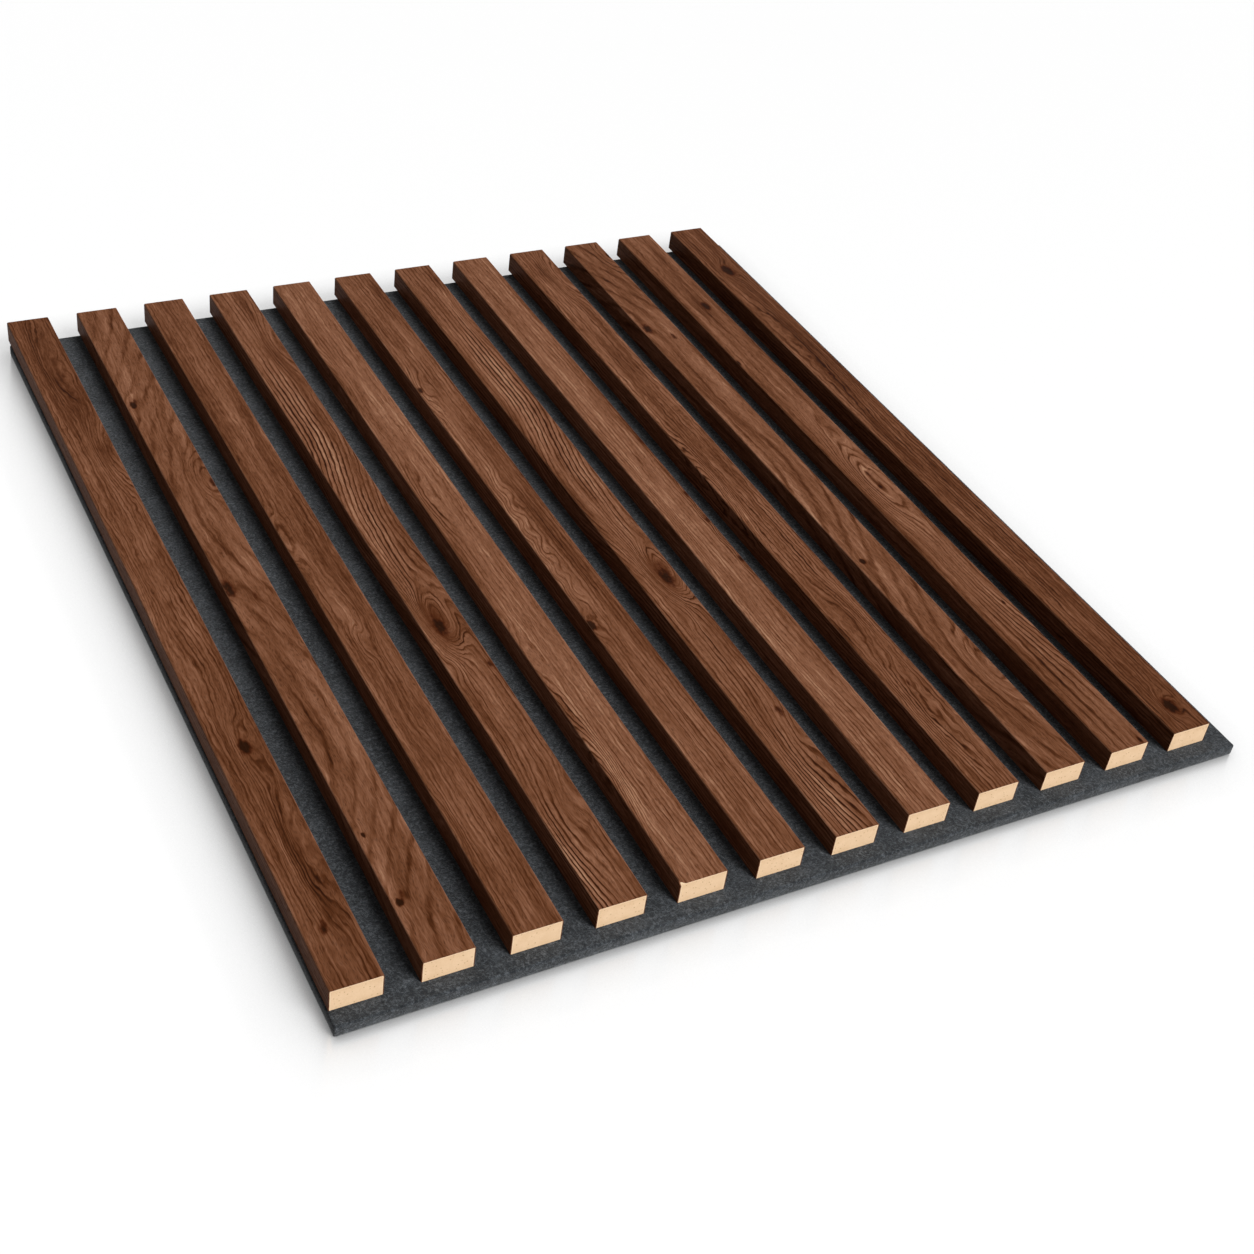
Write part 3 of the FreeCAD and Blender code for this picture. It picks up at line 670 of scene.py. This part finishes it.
@dataclass(frozen=True)
class Fibreboard:
    """Medium density fibreboard, sawn across: pale, even, with fine fibre and a few darker bark specks.

    Fibres are about 0.1 mm thick and are drawn near 0.5 mm, so that they show.
    """

    pale: str = "#EECEAA"
    deep: str = "#DAB68E"
    speck_colour: str = "#9C7444"
    # Colour of a painted highlight along the rim of each end face.
    rim_highlight_colour: str = "#F2D8B6"

    def material(self, name: str, low: Vector, high: Vector) -> bpy.types.Material:
        """Builds the core's material.

        Args:
            name: Name of the material.
            low: The core's lowest corner in metres.
            high: The core's highest corner in metres.

        Returns:
            The material.
        """
        material, tree = new_material(name)
        place = add_node(tree, "ShaderNodeTexCoord", {})
        middle = (low + high) / 2
        local = add_node(
            tree, "ShaderNodeMapping",
            {"Vector": place.outputs["Object"], "Location": tuple(middle), "Scale": (MM, MM, MM)},
            vector_type="TEXTURE",
        )
        on_panel = add_node(
            tree, "ShaderNodeMapping", {"Vector": place.outputs["Object"], "Scale": (MM, MM, MM)},
            vector_type="TEXTURE",
        )
        fibre = add_node(
            tree, "ShaderNodeTexNoise",
            {"Vector": on_panel, "Scale": 1.3, "Detail": 3.0, "Roughness": 0.6, "Distortion": 0.4},
        )
        cloud = add_node(tree, "ShaderNodeTexNoise", {"Vector": on_panel, "Scale": 0.16, "Detail": 1.0})
        parts = add_node(tree, "ShaderNodeSeparateXYZ", {0: local})
        height = add_node(tree, "ShaderNodeMath", {0: parts.outputs["Z"]}, operation="ABSOLUTE")
        pressed = add_node(
            tree, "ShaderNodeMapRange",
            {"Value": height, "From Min": 2.5, "From Max": 7.0, "To Min": 0.0, "To Max": 0.18},
        )
        tone = add_node(tree, "ShaderNodeMath", {0: fibre, 1: 0.55, 2: pressed}, operation="MULTIPLY_ADD")
        tone = add_node(tree, "ShaderNodeMath", {0: cloud, 1: 0.5, 2: tone}, operation="MULTIPLY_ADD")
        ground = add_node(
            tree, "ShaderNodeValToRGB", {0: tone}, stops=((0.25, self.pale), (0.95, self.deep)),
        )
        dots = add_node(tree, "ShaderNodeTexVoronoi", {"Vector": on_panel, "Scale": 0.42, "Randomness": 1.0})
        speck = add_node(
            tree, "ShaderNodeMapRange",
            {"Value": dots.outputs["Distance"], "From Min": 0.11, "From Max": 0.20, "To Min": 0.6, "To Max": 0.0},
        )
        colour = add_node(
            tree, "ShaderNodeMix", {0: speck, 6: ground, 7: linear(self.speck_colour)}, data_type="RGBA",
        ).outputs[2]
        # A paler line along the sides and top of each end face is a painted highlight, not the board's colour.
        wide = add_node(tree, "ShaderNodeMath", {0: parts.outputs["X"]}, operation="ABSOLUTE")
        rim = add_node(
            tree, "ShaderNodeMath", {0: wide, 1: (high.x - low.x) / 2 / MM - 0.5}, operation="GREATER_THAN",
        )
        top_rim_highlight = add_node(
            tree, "ShaderNodeMath",
            {0: parts.outputs["Z"], 1: (high.z - low.z) / 2 / MM - 0.5}, operation="GREATER_THAN",
        )
        rim = add_node(tree, "ShaderNodeMath", {0: rim, 1: top_rim_highlight}, operation="MAXIMUM")
        rim = add_node(tree, "ShaderNodeMath", {0: rim, 1: 0.6}, operation="MULTIPLY")
        colour = add_node(
            tree, "ShaderNodeMix", {0: rim, 6: colour, 7: linear(self.rim_highlight_colour)}, data_type="RGBA",
        ).outputs[2]
        bump = add_node(tree, "ShaderNodeBump", {"Height": fibre, "Strength": 0.3, "Distance": 0.15 * MM})
        rough = add_node(
            tree, "ShaderNodeMapRange", {"Value": fibre, "To Min": 0.80, "To Max": 0.95},
        )
        shader = add_node(
            tree, "ShaderNodeBsdfPrincipled",
            {
                "Base Color": colour, "Roughness": rough, "IOR": 1.45, "Specular IOR Level": 0.2,
                "Normal": bump,
            },
        )
        add_node(tree, "ShaderNodeOutputMaterial", {"Surface": shader})
        return material


@dataclass(frozen=True)
class PressedFelt:
    """Polyester felt, needled and pressed to a board: charcoal with a blue cast, clouded, with paler loose fibres.

    Fibres are about 0.03 mm thick and are drawn near 0.5 mm, so that they show.
    """

    dark: str = "#191B1D"
    ground: str = "#2C2F32"
    light: str = "#484C50"
    fibre_colour: str = "#787D82"

    def fibres(self, tree: bpy.types.NodeTree, local: Feed, turn: float, seed: float) -> bpy.types.Node:
        """Adds one lay of curled loose fibres.

        Args:
            tree: Node tree of the material.
            local: Place in mm.
            turn: Way that most of them lie, in degrees.
            seed: A number that sets this lay apart.

        Returns:
            The node: 1 on a fibre, 0 between them.
        """
        sized = add_node(
            tree, "ShaderNodeMapping",
            {
                "Vector": local,
                "Location": (0.0, 0.0, seed),
                "Rotation": (0.0, 0.0, math.radians(turn)),
                "Scale": (2.2, 7.0, 2.5),
            },
            vector_type="TEXTURE",
        )
        lay = add_node(
            tree, "ShaderNodeTexNoise",
            {"Vector": sized, "Scale": 1.0, "Detail": 1.0, "Roughness": 0.5, "Distortion": 0.9},
        )
        middle = add_node(tree, "ShaderNodeMath", {0: lay, 1: 0.5}, operation="SUBTRACT")
        middle = add_node(tree, "ShaderNodeMath", {0: middle}, operation="ABSOLUTE")
        return add_node(
            tree, "ShaderNodeMapRange",
            {"Value": middle, "From Min": 0.006, "From Max": 0.030, "To Min": 1.0, "To Max": 0.0},
            interpolation_type="SMOOTHSTEP",
        )

    def material(self, name: str) -> bpy.types.Material:
        """Builds the felt's material.

        Args:
            name: Name of the material.

        Returns:
            The material.
        """
        material, tree = new_material(name)
        place = add_node(tree, "ShaderNodeTexCoord", {})
        local = add_node(
            tree, "ShaderNodeMapping", {"Vector": place.outputs["Object"], "Scale": (MM, MM, MM)},
            vector_type="TEXTURE",
        )
        cloud = add_node(
            tree, "ShaderNodeTexNoise", {"Vector": local, "Scale": 0.07, "Detail": 2.0, "Distortion": 0.3},
        )
        tuft = add_node(
            tree, "ShaderNodeTexNoise",
            {"Vector": local, "Scale": 0.5, "Detail": 4.0, "Roughness": 0.66, "Distortion": 0.8},
        )
        tone = add_node(tree, "ShaderNodeMath", {0: tuft, 1: 0.8, 2: -0.1}, operation="MULTIPLY_ADD")
        tone = add_node(tree, "ShaderNodeMath", {0: cloud, 1: 0.4, 2: tone}, operation="MULTIPLY_ADD")
        ground = add_node(
            tree, "ShaderNodeValToRGB", {0: tone},
            stops=((0.28, self.dark), (0.5, self.ground), (0.74, self.light)),
        )
        lay_one = self.fibres(tree, local, 24.0, 3.0)
        lay_two = self.fibres(tree, local, -52.0, 9.0)
        lay_three = self.fibres(tree, local, 81.0, 17.0)
        loose = add_node(tree, "ShaderNodeMath", {0: lay_one, 1: lay_two}, operation="MAXIMUM")
        loose = add_node(tree, "ShaderNodeMath", {0: loose, 1: lay_three}, operation="MAXIMUM")
        thin_out = add_node(
            tree, "ShaderNodeMapRange",
            {"Value": tuft, "From Min": 0.42, "From Max": 0.66, "To Min": 0.0, "To Max": 0.42},
        )
        share = add_node(tree, "ShaderNodeMath", {0: loose, 1: thin_out}, operation="MULTIPLY")
        colour = add_node(
            tree, "ShaderNodeMix", {0: share, 6: ground, 7: linear(self.fibre_colour)}, data_type="RGBA",
        ).outputs[2]
        height = add_node(tree, "ShaderNodeMath", {0: loose, 1: 0.35, 2: tuft}, operation="MULTIPLY_ADD")
        bump = add_node(tree, "ShaderNodeBump", {"Height": height, "Strength": 0.7, "Distance": 0.6 * MM})
        rough = add_node(tree, "ShaderNodeMapRange", {"Value": tuft, "To Min": 0.88, "To Max": 1.0})
        shader = add_node(
            tree, "ShaderNodeBsdfPrincipled",
            {
                "Base Color": colour, "Roughness": rough, "IOR": 1.5, "Specular IOR Level": 0.15,
                "Sheen Weight": 0.12, "Sheen Roughness": 0.5, "Normal": bump,
            },
        )
        add_node(tree, "ShaderNodeOutputMaterial", {"Surface": shader})
        return material


@dataclass(frozen=True)
class GalvanisedWire:
    """Zinc plated steel wire, drawn and bent into staples: a grey metal with a broken shine and light drawing marks."""

    bright: str = "#B9BCBD"
    dull: str = "#85898B"

    def material(self, name: str) -> bpy.types.Material:
        """Builds the staples' material.

        Args:
            name: Name of the material.

        Returns:
            The material.
        """
        material, tree = new_material(name)
        place = add_node(tree, "ShaderNodeTexCoord", {})
        local = add_node(
            tree, "ShaderNodeMapping", {"Vector": place.outputs["Object"], "Scale": (MM, MM, MM)},
            vector_type="TEXTURE",
        )
        blotch = add_node(tree, "ShaderNodeTexNoise", {"Vector": local, "Scale": 0.9, "Detail": 3.0})
        drawn = add_node(
            tree, "ShaderNodeMapping", {"Vector": local, "Scale": (5.0, 0.15, 0.15)}, vector_type="TEXTURE",
        )
        marks = add_node(tree, "ShaderNodeTexNoise", {"Vector": drawn, "Scale": 1.0, "Detail": 1.0})
        colour = add_node(
            tree, "ShaderNodeValToRGB", {0: blotch}, stops=((0.35, self.dull), (0.65, self.bright)),
        )
        rough = add_node(tree, "ShaderNodeMapRange", {"Value": blotch, "To Min": 0.28, "To Max": 0.52})
        bump = add_node(tree, "ShaderNodeBump", {"Height": marks, "Strength": 0.25, "Distance": 0.03 * MM})
        shader = add_node(
            tree, "ShaderNodeBsdfPrincipled",
            {"Base Color": colour, "Metallic": 1.0, "Roughness": rough, "Normal": bump},
        )
        add_node(tree, "ShaderNodeOutputMaterial", {"Surface": shader})
        return material


@dataclass
class FeltBoard:
    """The felt board under the slats, cut a little uneven, with a pressed seat for each staple in its back."""

    cell: float = 4.0 * MM
    corner_radius: float = 1.0 * MM
    edge_radius: float = 1.2 * MM
    unevenness: float = 0.14 * MM
    crown: float = 11.1 * MM
    crown_width: float = 1.3 * MM
    seat_depth: float = 1.15 * MM
    rows: tuple[float, ...] = (-249.5 * MM, 5.5 * MM, 260.5 * MM)
    first_slat: float = -283.25 * MM
    pitch: float = 50.0 * MM
    slats: int = 12
    finish: PressedFelt = field(default_factory=PressedFelt)

    def blank(self, low: Vector, high: Vector) -> bmesh.types.BMesh:
        """Cuts the board and divides it into small cells, with its corners and edges rounded.

        Args:
            low: Lowest corner of the CAD board.
            high: Its highest corner.

        Returns:
            The closed board.
        """
        board = bmesh.new()
        size = high - low
        bmesh.ops.create_cube(board, size=1.0)
        bmesh.ops.scale(board, vec=size, verts=board.verts)
        bmesh.ops.translate(board, vec=(low + high) / 2, verts=board.verts)
        for axis, cuts in ((0, round(size.x / self.cell) - 1), (1, round(size.y / self.cell) - 1), (2, 1)):
            edges = [
                edge for edge in board.edges
                if abs(edge.verts[0].co[axis] - edge.verts[1].co[axis]) > 0.6 * size[axis]
            ]
            bmesh.ops.subdivide_edges(board, edges=edges, cuts=cuts, use_grid_fill=True)
        uprights = [edge for edge in board.edges if self.is_corner(edge, low, high)]
        bmesh.ops.bevel(
            board, geom=uprights, offset=self.corner_radius, offset_type="OFFSET", affect="EDGES",
            segments=3, profile=0.5, material=-1,
        )
        board.normal_update()
        rims = [
            edge for edge in board.edges
            if edge.is_manifold and edge.calc_face_angle(0.0) > 1.2
            and abs(edge.verts[0].co.z - edge.verts[1].co.z) < 1e-6
        ]
        bmesh.ops.bevel(
            board, geom=rims, offset=self.edge_radius, offset_type="OFFSET", affect="EDGES",
            segments=3, profile=0.5, material=-1,
        )
        return board

    def is_corner(self, edge: bmesh.types.BMEdge, low: Vector, high: Vector) -> bool:
        """Says whether an edge is part of one of the board's four upright corners."""
        return all(
            min(abs(vert.co.x - low.x), abs(vert.co.x - high.x)) < 1e-6
            and min(abs(vert.co.y - low.y), abs(vert.co.y - high.y)) < 1e-6
            for vert in edge.verts
        )

    def press_seats(self, board: bmesh.types.BMesh, bottom: float) -> None:
        """Presses a seat into the back for each staple's crown.

        Args:
            board: The board.
            bottom: Height of its back.
        """
        half_wide = self.crown_width / 2
        half_long = self.crown / 2
        columns = [self.first_slat + self.pitch * number for number in range(self.slats)]
        for row in self.rows:
            for edge_at in (row - half_wide, row + half_wide):
                self.score(board, (0.0, edge_at, bottom), (0.0, 1.0, 0.0), bottom, row, 3 * self.cell)
            for column in columns:
                for edge_at in (column - half_long, column + half_long):
                    self.score(board, (edge_at, 0.0, bottom), (1.0, 0.0, 0.0), bottom, row, half_wide)
        seats = [
            face for face in board.faces
            if abs(face.calc_center_median().z - bottom) < 1e-6
            and any(abs(face.calc_center_median().y - row) < half_wide for row in self.rows)
            and any(abs(face.calc_center_median().x - column) < half_long for column in columns)
        ]
        pressed = bmesh.ops.extrude_face_region(board, geom=seats)
        raised = [item for item in pressed["geom"] if isinstance(item, bmesh.types.BMVert)]
        bmesh.ops.translate(board, vec=(0.0, 0.0, self.seat_depth), verts=raised)
        bmesh.ops.delete(board, geom=[face for face in seats if face.is_valid], context="FACES_ONLY")

    def score(
        self, board: bmesh.types.BMesh, at: tuple, normal: tuple, bottom: float, row: float, reach: float,
    ) -> None:
        """Scores a line across the faces of the back that lie near one row of staples.

        Args:
            board: The board.
            at: A point of the line.
            normal: Direction square to the line.
            bottom: Height of the back.
            row: Place of the staple row along the board.
            reach: How far from the row the scored faces lie.
        """
        faces = [
            face for face in board.faces
            if abs(face.calc_center_median().z - bottom) < 1e-6
            and abs(face.calc_center_median().y - row) < reach
        ]
        edges = {edge for face in faces for edge in face.edges}
        verts = {vert for face in faces for vert in face.verts}
        bmesh.ops.bisect_plane(
            board, geom=[*verts, *edges, *faces], dist=1e-7, plane_co=at, plane_no=normal,
        )

    def roughen(self, board: bmesh.types.BMesh, low: Vector, high: Vector) -> None:
        """Moves the surface inwards a little, unevenly, as pressed felt lies.

        Args:
            board: The board.
            low: Lowest corner of the CAD board.
            high: Its highest corner.
        """
        middle = (low + high) / 2
        for vert in board.verts:
            wave = 0.5 + 0.5 * noise.noise(vert.co / (9.0 * MM))
            tuft = 0.5 + 0.5 * noise.noise(vert.co / (5.0 * MM) + Vector((7.0, 3.0, 1.0)))
            depth = self.unevenness * (0.6 * wave + 0.4 * tuft)
            if vert.co.z > high.z - 1e-6:
                vert.co.z -= depth
            for axis in (0, 1):
                if min(abs(vert.co[axis] - low[axis]), abs(vert.co[axis] - high[axis])) < 1.3 * MM:
                    vert.co[axis] += 2.0 * depth * (1.0 if middle[axis] > vert.co[axis] else -1.0)

    def build(self) -> bpy.types.Object:
        """Makes the board, dresses it and puts it in place of the CAD board.

        Returns:
            The finished piece.
        """
        low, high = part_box("felt_backing")
        board = self.blank(low, high)
        self.press_seats(board, low.z)
        self.roughen(board, low, high)
        piece = new_piece("felt_board", board)
        for polygon in piece.data.polygons:
            polygon.use_smooth = True
        dress(piece, self.finish.material("pressed_polyester_felt"))
        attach(piece, "root")
        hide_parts("felt_backing")
        LOG.info("felt_board: %d faces", len(piece.data.polygons))
        return piece


@dataclass
class Slats:
    """The twelve veneered slats, which keep their CAD shapes and get their own sheets of wood."""

    nodes: dict[str, bpy.types.Object]
    veneer: WalnutVeneer = field(default_factory=WalnutVeneer)
    core: Fibreboard = field(default_factory=Fibreboard)

    def build(self) -> None:
        """Dresses each slat's veneer and its core."""
        for number, sheet in enumerate(SHEETS, start=1):
            low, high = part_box(f"slat_veneer_{number:02d}")
            corner = Vector((low.x, low.y, high.z))
            wood = self.veneer.material(f"walnut_veneer_{number:02d}", sheet, 10.0 * number, corner)
            dress(self.nodes[f"slat_veneer_{number:02d}"], wood)
            low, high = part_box(f"slat_core_{number:02d}")
            board = self.core.material(f"fibreboard_{number:02d}", low, high)
            dress(self.nodes[f"slat_core_{number:02d}"], board)
            LOG.info("slat %d: %s sheet on a fibreboard core", number, sheet.figure.name.lower())


@dataclass
class Staples:
    """The wire staples that hold the slats from the back."""

    nodes: dict[str, bpy.types.Object]
    finish: GalvanisedWire = field(default_factory=GalvanisedWire)

    def build(self) -> None:
        """Dresses the staples."""
        dress(self.nodes["staples"], self.finish.material("galvanised_steel_wire"))
        LOG.info("staples: galvanised wire")


@dataclass
class Studio:
    """A pale floor in a white surround, with a soft key light from the right and front.

    What the camera and mirrored rays see of the floor and the surround is lifted to white. The light that they give
    the panel is dim and even, and isn't changed by that.
    """

    floor_size: float = 20.0
    floor_colour: str = "#959595"
    bounce_colour: str = "#767676"
    lift: float = 0.44
    painted_shadow_reach: float = 44.0 * MM
    brushed: tuple[float, float, float] = (-0.544, -0.839, 0.0)
    key_direction: tuple[float, float, float] = (0.370, -0.670, 0.643)
    key_strength: float = 4.27
    key_angle: float = 30.0
    surround: float = 0.14
    under_strength: float = 3.0

    def seen(self, tree: bpy.types.NodeTree) -> bpy.types.Node:
        """Adds the test for rays that look: 1 for the camera's, mirrored and refracted ones, 0 for light's."""
        rays = add_node(tree, "ShaderNodeLightPath", {})
        looks = add_node(
            tree, "ShaderNodeMath",
            {0: rays.outputs["Is Camera Ray"], 1: rays.outputs["Is Glossy Ray"]}, operation="MAXIMUM",
        )
        return add_node(
            tree, "ShaderNodeMath", {0: looks, 1: rays.outputs["Is Transmission Ray"]}, operation="MAXIMUM",
        )

    def acrylic(self, name: str) -> bpy.types.Material:
        """Builds the floor's polished white acrylic, lifted to white by a glow that fades near the panel, which paints
        a soft shadow round it.

        It mirrors more than real acrylic does, and is brushed one way, which draws reflections out along the
        brushing. Its back is clear, so that the panel can be looked at from below.

        Args:
            name: Name of the material.

        Returns:
            The material.
        """
        material, tree = new_material(name)
        way = add_node(tree, "ShaderNodeCombineXYZ", dict(enumerate(self.brushed)))
        polished = add_node(
            tree, "ShaderNodeBsdfPrincipled",
            {
                "Base Color": linear(self.floor_colour), "Roughness": 0.24, "IOR": 4.5, "Anisotropic": 1.0,
                "Tangent": way,
            },
        )
        # Ambient occlusion dims the glow near the panel: a painted contact shadow on the floor.
        open_part = add_node(tree, "ShaderNodeAmbientOcclusion", {"Distance": self.painted_shadow_reach}, samples=6)
        painted_shadow_falloff = add_node(
            tree, "ShaderNodeMath", {0: open_part.outputs["AO"], 1: 2.0}, operation="POWER",
        )
        amount = add_node(tree, "ShaderNodeMath", {0: painted_shadow_falloff, 1: self.lift}, operation="MULTIPLY")
        glow = add_node(tree, "ShaderNodeEmission", {"Color": (1.0, 1.0, 1.0, 1.0), "Strength": amount})
        lifted = add_node(tree, "ShaderNodeAddShader", {0: polished, 1: glow})
        dull = add_node(tree, "ShaderNodeBsdfDiffuse", {"Color": linear(self.bounce_colour)})
        front = add_node(tree, "ShaderNodeMixShader", {0: self.seen(tree), 1: dull, 2: lifted})
        clear = add_node(tree, "ShaderNodeBsdfTransparent", {})
        sides = add_node(tree, "ShaderNodeNewGeometry", {})
        both = add_node(
            tree, "ShaderNodeMixShader", {0: sides.outputs["Backfacing"], 1: front, 2: clear},
        )
        add_node(tree, "ShaderNodeOutputMaterial", {"Surface": both})
        return material

    def stage(self) -> None:
        """Lays the floor."""
        floor = bmesh.new()
        bmesh.ops.create_grid(floor, x_segments=2, y_segments=2, size=self.floor_size / 2)
        bmesh.ops.translate(floor, vec=(0.0, 0.0, -0.05 * MM), verts=floor.verts)
        laid = new_piece("floor", floor, closed=False)
        dress(laid, self.acrylic("polished_white_acrylic"))
        LOG.info("floor is laid")

    def sun(self, name: str, towards: tuple[float, float, float], strength: float) -> bpy.types.Object:
        """Hangs a wide, distant lamp.

        Args:
            name: Name of the lamp.
            towards: Direction in which it hangs.
            strength: Its strength.

        Returns:
            The lamp.
        """
        lamp = bpy.data.lights.new(name, "SUN")
        lamp.energy = strength
        lamp.angle = math.radians(self.key_angle)
        holder = bpy.data.objects.new(name, lamp)
        holder.rotation_euler = Vector(towards).to_track_quat("Z", "Y").to_euler()
        bpy.context.scene.collection.objects.link(holder)
        return holder

    def light(self, back: list[bpy.types.Object]) -> None:
        """Sets the key light, the surround, and a lamp under the floor for looks at the panel's back.

        Args:
            back: What the lamp under the floor lights.
        """
        self.sun("key_light", self.key_direction, self.key_strength)
        under = self.sun("under_light", (0.0, 0.0, -1.0), self.under_strength)
        lit = bpy.data.collections.new("panel_back")
        for piece in back:
            lit.objects.link(piece)
        under.light_linking.receiver_collection = lit
        under.light_linking.blocker_collection = lit
        world = bpy.data.worlds.new("white_surround")
        world.use_nodes = True
        world.node_tree.nodes.clear()
        strength = add_node(
            world.node_tree, "ShaderNodeMapRange",
            {"Value": self.seen(world.node_tree), "To Min": self.surround, "To Max": 1.0},
        )
        sky = add_node(
            world.node_tree, "ShaderNodeBackground", {"Color": (1.0, 1.0, 1.0, 1.0), "Strength": strength},
        )
        add_node(world.node_tree, "ShaderNodeOutputWorld", {"Surface": sky})
        bpy.context.scene.world = world
        view = bpy.context.scene.view_settings
        view.view_transform = "Standard"
        LOG.info("lights are set")


@dataclass
class PhotoView:
    """The camera, at the photograph's own viewing angle, with the tilt that the photographer gave it."""

    azimuth: float = -32.969
    elevation: float = 38.994
    roll: float = 8.943
    target: tuple[float, float, float] = (-25.7 * MM, -120.6 * MM, 23.0 * MM)
    distance: float = 1.179
    lens: float = 54.108

    def build(self) -> bpy.types.Object:
        """Makes the camera.

        Returns:
            The camera.
        """
        turn = math.radians(self.azimuth)
        rise = math.radians(self.elevation)
        tilt = math.radians(self.roll)
        back = Vector((
            math.sin(turn) * math.cos(rise), -math.cos(turn) * math.cos(rise), math.sin(rise),
        ))
        level_right = (-back).cross(Vector((0.0, 0.0, 1.0))).normalized()
        level_up = back.cross(level_right)
        right = math.cos(tilt) * level_right + math.sin(tilt) * level_up
        up = back.cross(right)
        lens = bpy.data.cameras.new("photo_view")
        lens.lens = self.lens
        lens.sensor_width = 36.0
        camera = bpy.data.objects.new("photo_view", lens)
        turned = Matrix((right, up, back)).transposed().to_4x4()
        camera.matrix_world = Matrix.Translation(Vector(self.target) + self.distance * back) @ turned
        bpy.context.scene.collection.objects.link(camera)
        bpy.context.scene.camera = camera
        LOG.info("camera stands %.2f m from the panel", self.distance)
        return camera


def main() -> None:
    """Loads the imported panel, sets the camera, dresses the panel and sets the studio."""
    logging.basicConfig(level=logging.INFO, format="%(name)s: %(message)s")
    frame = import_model()
    PhotoView().build()
    felt = FeltBoard().build()
    Slats(frame["nodes"]).build()
    Staples(frame["nodes"]).build()
    studio = Studio()
    studio.stage()
    studio.light([felt, frame["nodes"]["staples"]])


if __name__ == "__main__":
    main()
